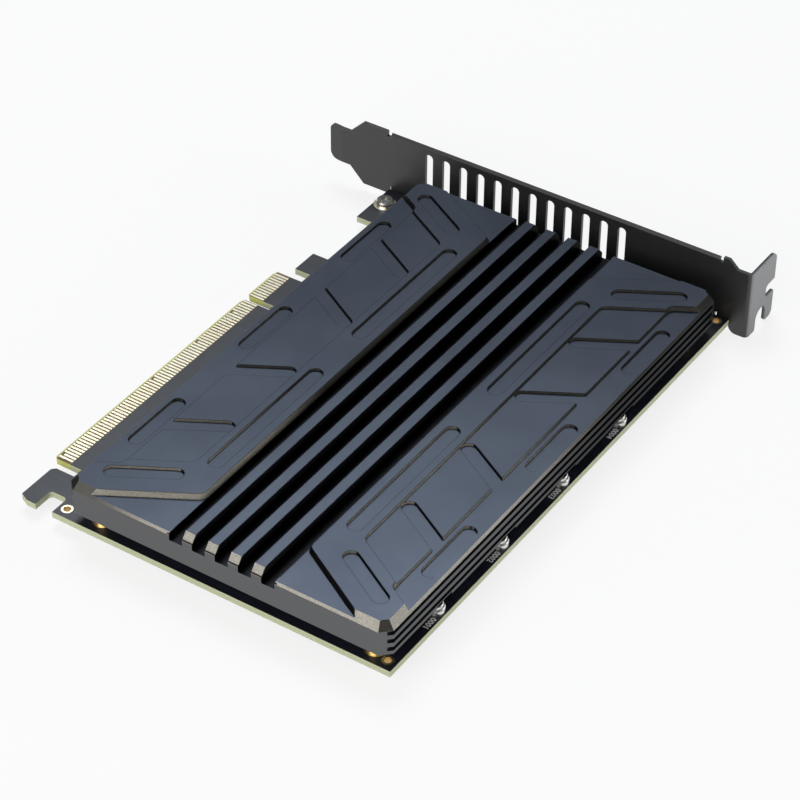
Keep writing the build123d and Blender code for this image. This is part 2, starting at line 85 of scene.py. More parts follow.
# %% [markdown]
# ## The camera
# The camera was worked out from the photograph: how far it stands, the angle it looks from, and the
# field it sees. The optical axis isn't in the picture's middle, so the lens is shifted a little.
# The aim point is the place on that axis nearest the card's middle.

# %% Camera
CAMERA_AZIMUTH = math.radians(34.4)
CAMERA_ELEVATION = math.radians(39.47)
CAMERA_ROLL = math.radians(-0.14)
CAMERA_DISTANCE = mm(651.8)
CAMERA_AIM = Vector((mm(6.65), mm(-18.84), mm(4.36)))
SENSOR_WIDTH_MM = 36
FOCAL_LENGTH_MM = 129.75
LENS_SHIFT = (0.0530, 0.0417)
CLIP_START = mm(10)
CLIP_END = 20


def direction(azimuth, elevation):
    """The unit vector that points from the card towards an azimuth and elevation."""
    flat = math.cos(elevation)
    return Vector((math.sin(azimuth) * flat, -math.cos(azimuth) * flat, math.sin(elevation)))


def facing(back, roll=0.0):
    """The turn of a camera or lamp that looks against the direction back."""
    right = Vector((0, 0, 1)).cross(back).normalized()
    up = back.cross(right)
    turned = Matrix((right, up, back)).transposed().to_4x4()
    return turned @ Matrix.Rotation(roll, 4, "Z")


camera = bpy.data.objects.new("photo_camera", bpy.data.cameras.new("photo_camera"))
bpy.context.scene.collection.objects.link(camera)
back = direction(CAMERA_AZIMUTH, CAMERA_ELEVATION)
stand = Matrix.Translation(CAMERA_AIM + back * CAMERA_DISTANCE)
camera.matrix_world = stand @ facing(back, CAMERA_ROLL)
camera.data.sensor_width = SENSOR_WIDTH_MM
camera.data.lens = FOCAL_LENGTH_MM
camera.data.shift_x, camera.data.shift_y = LENS_SHIFT
camera.data.clip_start = CLIP_START
camera.data.clip_end = CLIP_END
bpy.context.scene.camera = camera
print("camera at", [round(v, 3) for v in camera.location])

# %% [markdown]
# ## Shared effects
# Several finishes need the same effects: a fine grain, and a mask along edges, which gives wear and, on the
# heatsink, a painted highlight and painted shade along the edges. They also need masks for the way that a
# face points. Each effect is a node group with named inputs and outputs, built once. Inside a material it is
# placed with its own values. A group gives out only values, and the shader itself stays in the material.


# %% Helpers for node trees
class Tree:
    """A thin wrapper that adds nodes to a tree and links them in one call."""

    def __init__(self, tree):
        self.tree = tree

    def fill(self, node, values):
        """Links each socket among the values to its input, and sets each plain value on its input."""
        for name, value in values.items():
            if isinstance(value, bpy.types.NodeSocket):
                self.tree.links.new(value, node.inputs[name])
            else:
                node.inputs[name].default_value = value
        return node

    def add(self, kind, values=None, **settings):
        node = self.tree.nodes.new(kind)
        for name, value in settings.items():
            setattr(node, name, value)
        return self.fill(node, values or {})

    def group(self, name, values=None):
        return self.add("ShaderNodeGroup", values, node_tree=bpy.data.node_groups[name])

    def axes(self, vector):
        """The three parts of a vector, by name."""
        return self.add("ShaderNodeSeparateXYZ", {0: vector}).outputs

    def math(self, operation, a, b=0.0, clamp=False):
        return self.add("ShaderNodeMath", {0: a, 1: b}, operation=operation, use_clamp=clamp).outputs[0]

    def times(self, first, *others):
        """The product of masks and numbers."""
        for other in others:
            first = self.math("MULTIPLY", first, other)
        return first

    def rest(self, mask):
        """What a mask leaves: 1 where it is 0."""
        return self.math("SUBTRACT", 1.0, mask, clamp=True)

    def ramp(self, value, start, end):
        """0 at the start, 1 at the end and smooth between. The end may lie on either side."""
        limits = {"Value": value, "From Min": start, "From Max": end}
        return self.add("ShaderNodeMapRange", limits, interpolation_type="SMOOTHSTEP").outputs["Result"]

    def above(self, value, place, soft):
        """1 beyond a place and 0 before it, with a border that is soft on both sides."""
        return self.ramp(value, place - soft, place + soft)

    def below(self, value, place, soft):
        """1 before a place and 0 beyond it, with a border that is soft on both sides."""
        return self.ramp(value, place + soft, place - soft)

    def spread(self, mask, low, high):
        """A number that goes evenly from low, where the mask is 0, to high, where it is 1."""
        limits = {"Value": mask, "To Min": low, "To Max": high}
        return self.add("ShaderNodeMapRange", limits).outputs["Result"]

    def mix(self, factor, a, b):
        """A mix of two colours."""
        return self.add("ShaderNodeMix", {0: factor, 6: a, 7: b}, data_type="RGBA").outputs[2]

    def noise(self, vector, scale, detail=2.0, roughness=0.5):
        values = {"Vector": vector, "Scale": scale, "Detail": detail, "Roughness": roughness}
        return self.add("ShaderNodeTexNoise", values).outputs["Fac"]

    def stretched(self, vector, along_x):
        """The coordinates with X scaled, so that a pattern is drawn out along X."""
        return self.add("ShaderNodeMapping", {"Vector": vector, "Scale": (along_x, 1.0, 1.0)}).outputs[0]

    def bump(self, height, strength, distance):
        values = {"Height": height, "Strength": strength, "Distance": distance}
        return self.add("ShaderNodeBump", values).outputs[0]


def new_group(name, inputs, outputs):
    """An empty node group. An input whose value is None is a vector, and the rest are numbers."""
    tree = bpy.data.node_groups.new(name, "ShaderNodeTree")
    for label, value in inputs.items():
        kind = "NodeSocketVector" if value is None else "NodeSocketFloat"
        socket = tree.interface.new_socket(label, in_out="INPUT", socket_type=kind)
        if value is not None:
            socket.default_value = value
    for label in outputs:
        tree.interface.new_socket(label, in_out="OUTPUT", socket_type="NodeSocketFloat")
    made = Tree(tree)
    return made, made.add("NodeGroupInput").outputs, made.add("NodeGroupOutput")


# %% Grain: the fine bite that blasting leaves, and slow clouds
CLOUDS_PER_METRE = 45.0
GRAIN_LIMITS = (0.28, 0.72)
CLOUD_LIMITS = (0.3, 0.7)
GRAIN_INPUTS = {"Vector": None, "Grains per metre": 5000.0}
grain, given, result = new_group("fine_grain", GRAIN_INPUTS, ["Grain", "Clouds"])
fine = grain.noise(given["Vector"], given["Grains per metre"], detail=3.0, roughness=0.7)
slow = grain.noise(given["Vector"], CLOUDS_PER_METRE, detail=3.0, roughness=0.5)
grain.fill(result, {"Grain": grain.ramp(fine, *GRAIN_LIMITS), "Clouds": grain.ramp(slow, *CLOUD_LIMITS)})
print("fine_grain", len(grain.tree.nodes), "nodes")

# %% Edges, for wear and for painted edge highlights and shade: the rounded normal differs from the flat one only near an edge
WEAR_BREAKS_PER_METRE = 900.0
BREAK_LIMITS = (0.25, 0.6)
FLAT_COSINE = 0.995
WORN_COSINE = 0.85
wear, given, result = new_group("worn_and_shaded_edge", {"Vector": None, "Width": mm(0.25)}, ["Edge mask"])
rounded = wear.add("ShaderNodeBevel", {"Radius": given["Width"]}, samples=6)
flat = wear.add("ShaderNodeNewGeometry")
normals = {0: rounded.outputs[0], 1: flat.outputs["Normal"]}
turn = wear.add("ShaderNodeVectorMath", normals, operation="DOT_PRODUCT").outputs["Value"]
edge = wear.ramp(turn, FLAT_COSINE, WORN_COSINE)
breaks = wear.noise(given["Vector"], WEAR_BREAKS_PER_METRE, detail=4.0, roughness=0.6)
broken = wear.ramp(breaks, *BREAK_LIMITS)
wear.fill(result, {"Edge mask": wear.times(edge, broken)})
print("worn_and_shaded_edge", len(wear.tree.nodes), "nodes")

# %% Slope: level faces, upright faces, the sloping ones between, and the way that a face points
LEVEL_RISE = (0.9, 0.99)
UPRIGHT_RISE = (0.2, 0.1)
TOWARDS_X = (-0.1, 0.1)
BOTH_WAYS = (0.1, 0.2)
SLOPE_OUTPUTS = ["Level", "Upright", "Sloped", "Facing Plus X", "Diagonal"]
slope, given, result = new_group("slope_mask", {}, SLOPE_OUTPUTS)
face = slope.add("ShaderNodeNewGeometry")
normal = slope.axes(face.outputs["True Normal"])
across = slope.math("ABSOLUTE", normal["X"])
along = slope.math("ABSOLUTE", normal["Y"])
upwards = slope.math("ABSOLUTE", normal["Z"])
level = slope.ramp(upwards, *LEVEL_RISE)
upright = slope.ramp(upwards, *UPRIGHT_RISE)
neither = slope.math("SUBTRACT", slope.math("SUBTRACT", 1.0, level), upright, clamp=True)
towards = slope.ramp(normal["X"], *TOWARDS_X)
diagonal = slope.ramp(slope.math("MINIMUM", across, along), *BOTH_WAYS)
slope.fill(result, dict(zip(SLOPE_OUTPUTS, (level, upright, neither, towards, diagonal))))
print("slope_mask", len(slope.tree.nodes), "nodes")

# %% [markdown]
# ## Finishes
# A material starts with the piece's own coordinates. Every number that is the same all over is set on
# the shader's socket itself. What changes over the surface, such as the colour, the roughness and the
# bump, comes through the nodes.


# %% Start of every material
def rgb(red, green, blue):
    """A colour as a node takes it."""
    return (red, green, blue, 1.0)


def grey(value):
    return rgb(value, value, value)


def feed(tree, shader, **values):
    """Fills the shader's inputs. A keyword has an underscore where the input's name has a space."""
    tree.fill(shader, {label.replace("_", " "): value for label, value in values.items()})


FINISHES = {}


def new_material(name, **constants):
    """Files a new material under its name. Gives its tree, its shader and the piece's own coordinates."""
    material = bpy.data.materials.new(name)
    FINISHES[name] = material
    material.use_nodes = True
    material.node_tree.nodes.clear()
    tree = Tree(material.node_tree)
    shader = tree.add("ShaderNodeBsdfPrincipled")
    feed(tree, shader, **constants)
    tree.add("ShaderNodeOutputMaterial", {"Surface": shader.outputs[0]})
    where = tree.add("ShaderNodeTexCoord").outputs["Object"]
    print("material", name)
    return tree, shader, where


def grit_of(tree, where, grains):
    """The shared grain, placed with so many grains in a metre."""
    return tree.group("fine_grain", {"Vector": where, "Grains per metre": grains}).outputs


def wear_and_shading_of(tree, where, width):
    """The shared edge mask, placed with its own width. It gives wear, and on the heatsink a painted
    highlight and painted shade along edges.
    """
    return tree.group("worn_and_shaded_edge", {"Vector": where, "Width": width}).outputs["Edge mask"]


# %% [markdown]
# ### The anodised heatsink
# The block was milled, blasted with fine grit and anodised dark. The dyed skin scatters almost nothing, so
# the block is made as a dark metal: it takes its colour from what it mirrors. The level faces are blue grey
# and satin. The sloping walls were cut by the side of the tool, and their coarser bite sparkles. The
# outer upright faces are a plainer grey. The deep grooves between the fins are painted near black as
# painted shade. A fine dark line of painted shade follows each edge of the milled pattern, and the outer
# edges carry a faint pale line, which is a painted highlight. The cut faces are unevenly lit, and painted
# shade in their colour carries that: walls that face the contact side are nearly black, and so are the
# corner facets. The other walls, the bevel and the right side get darker towards the bracket, and the bevel
# also gets darker towards the left.

# %% Places on the block
SINK_MIDDLE = (sink_low + sink_high) / 2
HALF_WIDTH = (sink_high.x - sink_low.x) / 2
HALF_LENGTH = (sink_high.y - sink_low.y) / 2
BORDER = mm(0.05)
GROOVES_HALF_WIDTH = mm(14.3)
GROOVE_TOP = sink_high.z - mm(1.5)
END_FACE_DEPTH = mm(0.04)
BEVEL_WIDTH = mm(1.8)
FACET_REACH = mm(4.25)
print("half the block, mm", round(1000 * HALF_WIDTH, 2), round(1000 * HALF_LENGTH, 2))

# %% Where the painted shade gets darker, and how dark
REAR_FADE = (mm(-35), mm(30))
DEEP_FADE = (mm(38), mm(68))
DEEP_SLANT = 0.6
LEFT_FADE = (SINK_MIDDLE.x - mm(14), sink_low.x + mm(6))
FACET_SHADE = 0.9
DEEP_SHADE = 0.88
LEFT_SHADE = 0.75
REAR_SHADE = 0.95
SIDE_SHADE = 0.95
print("rear fade, mm", [round(1000 * (SINK_MIDDLE.y + y), 1) for y in REAR_FADE])


# %% Masks over the block
def block_masks(tree, place):
    """Masks that are 1 in the place that each is named after."""
    off_middle = tree.math("SUBTRACT", place["X"], SINK_MIDDLE.x)
    sideways = tree.math("ABSOLUTE", off_middle)
    lengthways = tree.math("ABSOLUTE", tree.math("SUBTRACT", place["Y"], SINK_MIDDLE.y))
    between_panels = tree.below(sideways, GROOVES_HALF_WIDTH, soft=mm(0.1))
    sunk = tree.below(place["Z"], GROOVE_TOP, soft=mm(0.15))
    inside_ends = tree.below(lengthways, HALF_LENGTH - END_FACE_DEPTH, soft=mm(0.02))
    inner_x = tree.below(sideways, HALF_WIDTH - BEVEL_WIDTH, BORDER)
    inner_y = tree.below(lengthways, HALF_LENGTH - BEVEL_WIDTH, BORDER)
    from_front = tree.math("SUBTRACT", place["Y"], sink_low.y)
    depth = tree.math("SUBTRACT", from_front, tree.times(off_middle, DEEP_SLANT))
    return {
        "groove": tree.times(between_panels, sunk, inside_ends),
        "pattern": tree.times(inner_x, inner_y),
        "near_side": tree.above(sideways, HALF_WIDTH - FACET_REACH, BORDER),
        "rear": tree.ramp(place["Y"], SINK_MIDDLE.y + REAR_FADE[0], SINK_MIDDLE.y + REAR_FADE[1]),
        "deep": tree.ramp(depth, *DEEP_FADE),
        "left": tree.ramp(place["X"], *LEFT_FADE),
    }


# %% Colours of the block: a pair where the grain mixes two
BLOCK_LEVEL = (rgb(0.054, 0.062, 0.080), rgb(0.065, 0.075, 0.095))
BLOCK_CUT = (rgb(0.10, 0.094, 0.08), rgb(0.44, 0.42, 0.36))
BLOCK_BEVEL = (rgb(0.17, 0.162, 0.143), rgb(0.56, 0.533, 0.475))
# Painted shade on the walls that face away from plus X.
BLOCK_SHADED = rgb(0.010, 0.010, 0.011)
BLOCK_UPRIGHT = rgb(0.135, 0.137, 0.14)
# Painted shade on the darker cut faces, and on the right side towards the rear.
BLOCK_SHADE_ON_CUT = rgb(0.016, 0.016, 0.015)
BLOCK_SHADE_ON_SIDE = rgb(0.016, 0.017, 0.019)
# Painted shade in the grooves between the fins.
BLOCK_GROOVE_SHADE = rgb(0.012, 0.012, 0.014)
# A painted highlight along the outer edges, and painted shade along the pattern's edges.
OUTER_EDGE_HIGHLIGHT = rgb(0.24, 0.24, 0.25)
PATTERN_EDGE_SHADE = rgb(0.004, 0.004, 0.006)
OUTER_LINE_SHARE = 0.12
PATTERN_LINE_EXTRA = 0.75
LINE_LIMITS = (0.02, 0.3)
BLOCK_ROUGHNESS = (0.32, 0.38)
CUT_EXTRA_ROUGHNESS = 0.1
LEVEL_BITE = 0.1
CUT_EXTRA_BITE = 0.7


# %% Colour of the cut faces
def cut_faces(tree, grit, faces, masks):
    """The colour of all sloping faces: the bevel all round, and the walls of the pattern. Painted shade
    darkens the walls that face away from plus X, the corner facets, the walls far back, and the bevel to the
    left and rear.
    """
    wall = tree.mix(grit["Grain"], *BLOCK_CUT)
    # Painted shade: walls that don't face plus X are made near black.
    wall = tree.mix(faces["Facing Plus X"], BLOCK_SHADED, wall)
    facet = tree.times(faces["Diagonal"], masks["near_side"])
    # Painted shade: the corner facets and the walls far back are darkened.
    wall_shade = tree.math("MAXIMUM", tree.times(facet, FACET_SHADE), tree.times(masks["deep"], DEEP_SHADE))
    wall = tree.mix(wall_shade, wall, BLOCK_SHADE_ON_CUT)
    bevel = tree.mix(grit["Grain"], *BLOCK_BEVEL)
    left, rear = tree.times(masks["left"], LEFT_SHADE), tree.times(masks["rear"], REAR_SHADE)
    # Painted shade: the bevel darkens towards the left and towards the rear.
    bevel = tree.mix(tree.math("MAXIMUM", left, rear), bevel, BLOCK_SHADE_ON_CUT)
    bevel_part = tree.times(tree.rest(masks["pattern"]), tree.rest(faces["Diagonal"]))
    return tree.mix(bevel_part, wall, bevel)


# %% Anodised block
def anodised_block():
    tree, shader, where = new_material("anodised_block", Metallic=1.0, Specular_Tint=grey(0.6))
    grit = grit_of(tree, where, grains=6500.0)
    faces = tree.group("slope_mask").outputs
    masks = block_masks(tree, tree.axes(where))
    colour = tree.mix(grit["Clouds"], *BLOCK_LEVEL)
    colour = tree.mix(faces["Upright"], colour, BLOCK_UPRIGHT)
    colour = tree.mix(faces["Sloped"], colour, cut_faces(tree, grit, faces, masks))
    # Painted shade: the right side's upright faces darken towards the rear.
    side = tree.times(masks["rear"], faces["Facing Plus X"], faces["Upright"])
    colour = tree.mix(tree.times(side, SIDE_SHADE), colour, BLOCK_SHADE_ON_SIDE)
    # Edge lines: a painted highlight along the outer edges, and painted shade along the pattern's edges.
    line = tree.ramp(wear_and_shading_of(tree, where, width=mm(0.4)), *LINE_LIMITS)
    share = tree.math("ADD", tree.times(masks["pattern"], PATTERN_LINE_EXTRA), OUTER_LINE_SHARE)
    edge_highlight_and_shade = tree.mix(masks["pattern"], OUTER_EDGE_HIGHLIGHT, PATTERN_EDGE_SHADE)
    colour = tree.mix(tree.times(line, share), colour, edge_highlight_and_shade)
    # Painted shade: the grooves between the fins are made near black.
    colour = tree.mix(masks["groove"], colour, BLOCK_GROOVE_SHADE)
    rough = tree.spread(grit["Grain"], *BLOCK_ROUGHNESS)
    rough = tree.math("ADD", rough, tree.times(faces["Sloped"], CUT_EXTRA_ROUGHNESS))
    bite = tree.math("ADD", tree.times(faces["Sloped"], CUT_EXTRA_BITE), LEVEL_BITE)
    relief = tree.bump(grit["Grain"], strength=bite, distance=mm(0.05))
    feed(tree, shader, Base_Color=colour, Roughness=rough, Normal=relief)


anodised_block()

# %% [markdown]
# ### The circuit board
# The two faces wear a satin black solder mask, under which tracks show as faint ridges. The cut edges
# are bare glass fibre and resin, pale green and layered. Along the contact edge the mask is left off.
# The bare resin is brown between the contacts and a brighter yellow green on the rim and the bevel.
# The tracks are stretched noise and not a picture, so they stay sharp however near the camera comes. The
# borders of the bare strip are worked out from the box that holds the contacts.

# %% Where the mask ends
CONTACT_LOW, CONTACT_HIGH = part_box("edge_contacts")
MASK_GAP = mm(0.1)
RIM_GAP = mm(0.02)
BARE_MARGIN = mm(1.0)
MASK_EDGE = CONTACT_HIGH.x + MASK_GAP
RIM_EDGE = CONTACT_LOW.x - RIM_GAP
BARE_START = CONTACT_LOW.y - BARE_MARGIN
BARE_END = CONTACT_HIGH.y + BARE_MARGIN
print("bare strip, mm", round(1000 * BARE_START, 1), "to", round(1000 * BARE_END, 1))

# %% Colours and marks of the board
MASK_COLOURS = (rgb(0.009, 0.011, 0.018), rgb(0.014, 0.017, 0.027))
FIBRE_COLOURS = (rgb(0.42, 0.45, 0.28), rgb(0.56, 0.58, 0.40))
FIBRE_SPECK = rgb(0.37, 0.40, 0.25)
BROWN_RESIN = (rgb(0.13, 0.075, 0.028), rgb(0.19, 0.115, 0.05))
OLIVE_RESIN = (rgb(0.46, 0.47, 0.12), rgb(0.55, 0.56, 0.17))
FIBRE_SPECK_SHARE = 0.5
TRACK_LIMITS = (0.47, 0.53)
REGION_LIMITS = (0.45, 0.55)
TRACK_RELIEF = 0.5
GRAIN_RELIEF = 0.3


# %% Board
def board_black():
    tree, shader, where = new_material("board_black", Metallic=0.0, IOR=1.6)
    grit = grit_of(tree, where, grains=3500.0)
    faces = tree.group("slope_mask").outputs
    place = tree.axes(where)
    streaks = tree.noise(tree.stretched(where, along_x=0.12), scale=1100.0, detail=0.0)
    regions = tree.ramp(tree.noise(where, scale=60.0, detail=1.0), *REGION_LIMITS)
    tracks = tree.times(tree.ramp(streaks, *TRACK_LIMITS), regions)
    mask = tree.mix(tracks, *MASK_COLOURS)
    layers = {"Vector": where, "Scale": 420.0, "Distortion": 2.0}
    plies = tree.add("ShaderNodeTexWave", layers, wave_profile="SIN", bands_direction="Z").outputs["Fac"]
    fibre = tree.mix(plies, *FIBRE_COLOURS)
    fibre = tree.mix(tree.times(grit["Grain"], FIBRE_SPECK_SHARE), fibre, FIBRE_SPECK)
    brown = tree.mix(grit["Clouds"], *BROWN_RESIN)
    olive = tree.mix(grit["Clouds"], *OLIVE_RESIN)
    rim = tree.below(place["X"], RIM_EDGE, BORDER)
    left = tree.below(place["X"], MASK_EDGE, BORDER)
    after = tree.above(place["Y"], BARE_START, BORDER)
    before = tree.below(place["Y"], BARE_END, BORDER)
    bare = tree.times(left, after, before)
    sheet = tree.mix(bare, mask, tree.mix(rim, brown, olive))
    colour = tree.mix(faces["Level"], tree.mix(bare, fibre, olive), sheet)
    covered = tree.times(faces["Level"], tree.rest(bare))
    rough = tree.spread(covered, low=0.7, high=0.38)
    height = tree.math("ADD", tree.times(tracks, TRACK_RELIEF), tree.times(grit["Grain"], GRAIN_RELIEF))
    relief = tree.bump(height, strength=0.25, distance=mm(0.04))
    feed(tree, shader, Base_Color=colour, Roughness=rough, Normal=relief)


board_black()

# %% [markdown]
# ### Metals
# The contacts are gold over nickel, rubbed along X as the card is pushed into its slot. The screws and
# posts are nickel plated and turned, and the sleeves are turned brass. An even metal would mirror the
# studio too cleanly, so scratches and rings go into the bump, and the roughness varies with the grain.

# %% Gold contacts
GOLD_COLOURS = (rgb(0.96, 0.88, 0.63), rgb(0.99, 0.94, 0.75))
# Painted shade: a darker gold for upright faces, such as the barrels of the holes and the contacts' sides.
GOLD_SHADED_SIDES = rgb(0.50, 0.33, 0.12)


def contact_gold():
    tree, shader, where = new_material("contact_gold", Metallic=1.0)
    scratches = tree.noise(tree.stretched(where, along_x=0.06), scale=9000.0)
    colour = tree.mix(grit_of(tree, where, grains=2500.0)["Clouds"], *GOLD_COLOURS)
    # Painted shade: upright faces take the darker gold.
    colour = tree.mix(tree.group("slope_mask").outputs["Upright"], colour, GOLD_SHADED_SIDES)
    rough = tree.spread(scratches, low=0.24, high=0.42)
    relief = tree.bump(scratches, strength=0.2, distance=mm(0.01))
    feed(tree, shader, Base_Color=colour, Roughness=rough, Normal=relief)


contact_gold()

# %% Turned metals
WORN_METAL = rgb(0.95, 0.95, 0.93)
WORN_METAL_SHARE = 0.5
RING_RELIEF = 0.4


def turned_metal(name, dark, light, roughness):
    """A turned metal. Its colour and its roughness each go from the first value to the second."""
    tree, shader, where = new_material(name, Metallic=1.0)
    grit = grit_of(tree, where, grains=5200.0)
    marks = {"Vector": where, "Scale": 2600.0, "Distortion": 1.5}
    rings = tree.add("ShaderNodeTexWave", marks, bands_direction="Z").outputs["Fac"]
    colour = tree.mix(grit["Clouds"], dark, light)
    worn = tree.times(wear_and_shading_of(tree, where, width=mm(0.12)), WORN_METAL_SHARE)
    colour = tree.mix(worn, colour, WORN_METAL)
    rough = tree.spread(grit["Grain"], *roughness)
    height = tree.math("ADD", tree.times(rings, RING_RELIEF), grit["Grain"])
    relief = tree.bump(height, strength=0.15, distance=mm(0.02))
    feed(tree, shader, Base_Color=colour, Roughness=rough, Normal=relief)


turned_metal("plated_steel", rgb(0.62, 0.62, 0.60), rgb(0.78, 0.78, 0.75), (0.18, 0.30))
turned_metal("standoff_brass", rgb(0.72, 0.50, 0.18), rgb(0.86, 0.64, 0.28), (0.2, 0.32))

# %% [markdown]
# ### The painted bracket
# The folded sheet is coated in satin black, which gives a soft orange peel. The paint is thin on the
# edges, where the metal's grey comes through a little. The tab's outer face is a lighter grey, and this is
# painted light: the light it takes from the bright floor beside it is painted into its colour. The edges
# could be painted by hand, but the shared wear mask finds each one by itself, the slots' edges too.

# %% Bracket paint
PAINT_COLOURS = (rgb(0.006, 0.0063, 0.007), rgb(0.009, 0.0095, 0.0105))
PAINT_EDGE = rgb(0.16, 0.165, 0.18)
# Painted light on the tab's outer face.
TAB_PAINTED_LIGHT = rgb(0.2, 0.202, 0.21)
PAINT_EDGE_SHARE = 0.35
PAINTED_LIGHT_FROM = bracket_outer_end - mm(0.5)
PAINTED_LIGHT_TO = bracket_outer_end - mm(0.1)
PAINTED_LIGHT_SHARE = 0.8
PAINTED_LIGHT_EXTRA = 0.2


def bracket_black():
    tree, shader, where = new_material("bracket_black", Metallic=0.0, IOR=1.65)
    grit = grit_of(tree, where, grains=2200.0)
    colour = tree.mix(grit["Clouds"], *PAINT_COLOURS)
    worn = tree.times(wear_and_shading_of(tree, where, width=mm(0.22)), PAINT_EDGE_SHARE)
    colour = tree.mix(worn, colour, PAINT_EDGE)
    # Painted light: the tab's outer face is made an uneven lighter grey.
    outer = tree.ramp(tree.axes(where)["X"], PAINTED_LIGHT_FROM, PAINTED_LIGHT_TO)
    uneven = tree.math("ADD", tree.times(grit["Clouds"], PAINTED_LIGHT_EXTRA), PAINTED_LIGHT_SHARE)
    colour = tree.mix(tree.times(outer, uneven), colour, TAB_PAINTED_LIGHT)
    rough = tree.spread(grit["Grain"], low=0.40, high=0.50)
    peel = tree.noise(where, scale=1400.0, detail=1.0)
    height = tree.math("ADD", peel, tree.times(grit["Grain"], GRAIN_RELIEF))
    relief = tree.bump(height, strength=0.12, distance=mm(0.05))
    feed(tree, shader, Base_Color=colour, Roughness=rough, Normal=relief)


bracket_black()

# %% [markdown]
# ### Plastics, ceramic and the soft pads
# The sockets and chips are moulded, with a fine matte texture. One function makes them all, with its own
# colours, grain and roughness for each. The hidden pads, coils and capacitors need no more than that.

# %% Moulded pieces
MOULDED_EDGE = grey(0.35)
MOULDED_EDGE_SHARE = 0.3


def moulded(name, dark, light, grains, roughness, bite=0.3):
    """A matte piece. Its colour and its roughness each go from the first value to the second."""
    tree, shader, where = new_material(name, Metallic=0.0, IOR=1.5)
    grit = grit_of(tree, where, grains)
    colour = tree.mix(grit["Grain"], dark, light)
    worn = tree.times(wear_and_shading_of(tree, where, width=mm(0.1)), MOULDED_EDGE_SHARE)
    colour = tree.mix(worn, colour, MOULDED_EDGE)
    rough = tree.spread(grit["Grain"], *roughness)
    relief = tree.bump(grit["Grain"], strength=bite, distance=mm(0.03))
    feed(tree, shader, Base_Color=colour, Roughness=rough, Normal=relief)


moulded("socket_black", rgb(0.014, 0.014, 0.015), grey(0.03), grains=4200, roughness=(0.38, 0.55))
moulded("chip_black", rgb(0.02, 0.02, 0.021), rgb(0.045, 0.045, 0.046), grains=5200, roughness=(0.5, 0.65))
moulded("choke_grey", grey(0.10), rgb(0.19, 0.19, 0.185), grains=3800, roughness=(0.55, 0.75), bite=0.6)
moulded("capacitor_tan", rgb(0.33, 0.23, 0.13), rgb(0.45, 0.33, 0.2), grains=5000, roughness=(0.3, 0.45))
moulded("pad_grey", rgb(0.36, 0.42, 0.5), rgb(0.46, 0.52, 0.6), grains=2600, roughness=(0.7, 0.9), bite=0.5)

# %% [markdown]
# ### Laying the finishes on
# The frame's record names the finish of each piece, so one loop dresses them all.

# %% Lay each finish on its pieces
slot_of = {row["node"]: row["material_slot"] for row in frame["record"]["subparts"]}
for name, piece in nodes.items():
    piece.data.materials.clear()
    piece.data.materials.append(FINISHES[slot_of[name]])
print("finishes", len(FINISHES), "on", len(nodes), "pieces")

# %% [markdown]
# ## Making new pieces
# A new piece starts as a bmesh shape, gets its finish, and rides on the card's one body. Its object
# stays at the origin, and its place is in its mesh, as with the pieces of the frame.


# %% Helpers for new pieces
def add_piece(name, shape, finish):
    """Turns a bmesh into a piece of the card."""
    bmesh.ops.recalc_face_normals(shape, faces=shape.faces)
    mesh = bpy.data.meshes.new(name)
    shape.to_mesh(mesh)
    shape.free()
    mesh.materials.append(finish)
    piece = bpy.data.objects.new(name, mesh)
    bpy.context.scene.collection.objects.link(piece)
    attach(piece, "root")
    print(name, "has", len(mesh.polygons), "faces")


def turned(shape, profile, centre, steps=32):
    """Spins a closed profile of (radius, height) points about an upright axis."""
    points = [shape.verts.new((centre[0] + r, centre[1], z)) for r, z in profile]
    edges = [shape.edges.new(pair) for pair in zip(points, points[1:] + points[:1])]
    axis = dict(cent=(centre[0], centre[1], 0), axis=(0, 0, 1), angle=math.tau)
    bmesh.ops.spin(shape, geom=points + edges, use_duplicate=False, steps=steps, use_merge=True, **axis)


# %% [markdown]
# ### Plated rings and pads
# Each corner hole is plated: a thin gold ring lies on both faces and the barrel runs through. One closed
# profile spun round the hole makes ring and barrel in one piece. The screws of the bracket and of the
# heatsink stand on wider pads.

# %% Rings of the four corner holes
RING_RADIUS = mm(1.4)
RING_HEIGHT = mm(0.04)
HOLE_RADIUS = mm(0.95)
BARREL_WALL = mm(0.06)
mount = next(m for m in frame["record"]["mounts"] if m["name"] == "board_holes")
centre_x, centre_y = mount["pos_m"][:2]
half_x = mm(mount["dims"]["spacing_x_mm"]) / 2
half_y = mm(mount["dims"]["spacing_y_mm"]) / 2
HOLE_PLACES = [(centre_x + sx * half_x, centre_y + sy * half_y) for sx in (-1, 1) for sy in (-1, 1)]
barrel_bore = HOLE_RADIUS - BARREL_WALL
ring_profile = [
    (barrel_bore, board_bottom - RING_HEIGHT),
    (RING_RADIUS, board_bottom - RING_HEIGHT),
    (RING_RADIUS, board_bottom),
    (HOLE_RADIUS, board_bottom),
    (HOLE_RADIUS, board_top),
    (RING_RADIUS, board_top),
    (RING_RADIUS, board_top + RING_HEIGHT),
    (barrel_bore, board_top + RING_HEIGHT),
]
rings = bmesh.new()
for place in HOLE_PLACES:
    turned(rings, ring_profile, place)
add_piece("corner_hole_rings", rings, FINISHES["contact_gold"])
print("rings at mm", [(round(1000 * x, 1), round(1000 * y, 1)) for x, y in HOLE_PLACES])

# %% Pads under the bracket's screws and the heatsink's screws
SHANK_RADIUS = mm(1.3)
BRACKET_PAD_RADIUS = mm(2.9)
SLEEVE_PAD_RADIUS = mm(2.7)
HEAD_PAD_RADIUS = mm(2.9)


def pad(shape, node, low, radius):
    """A flat ring round the axis of a screw, from a height up."""
    a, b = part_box(node)
    centre = ((a.x + b.x) / 2, (a.y + b.y) / 2)
    high = low + RING_HEIGHT
    turned(shape, [(SHANK_RADIUS, low), (radius, low), (radius, high), (SHANK_RADIUS, high)], centre)


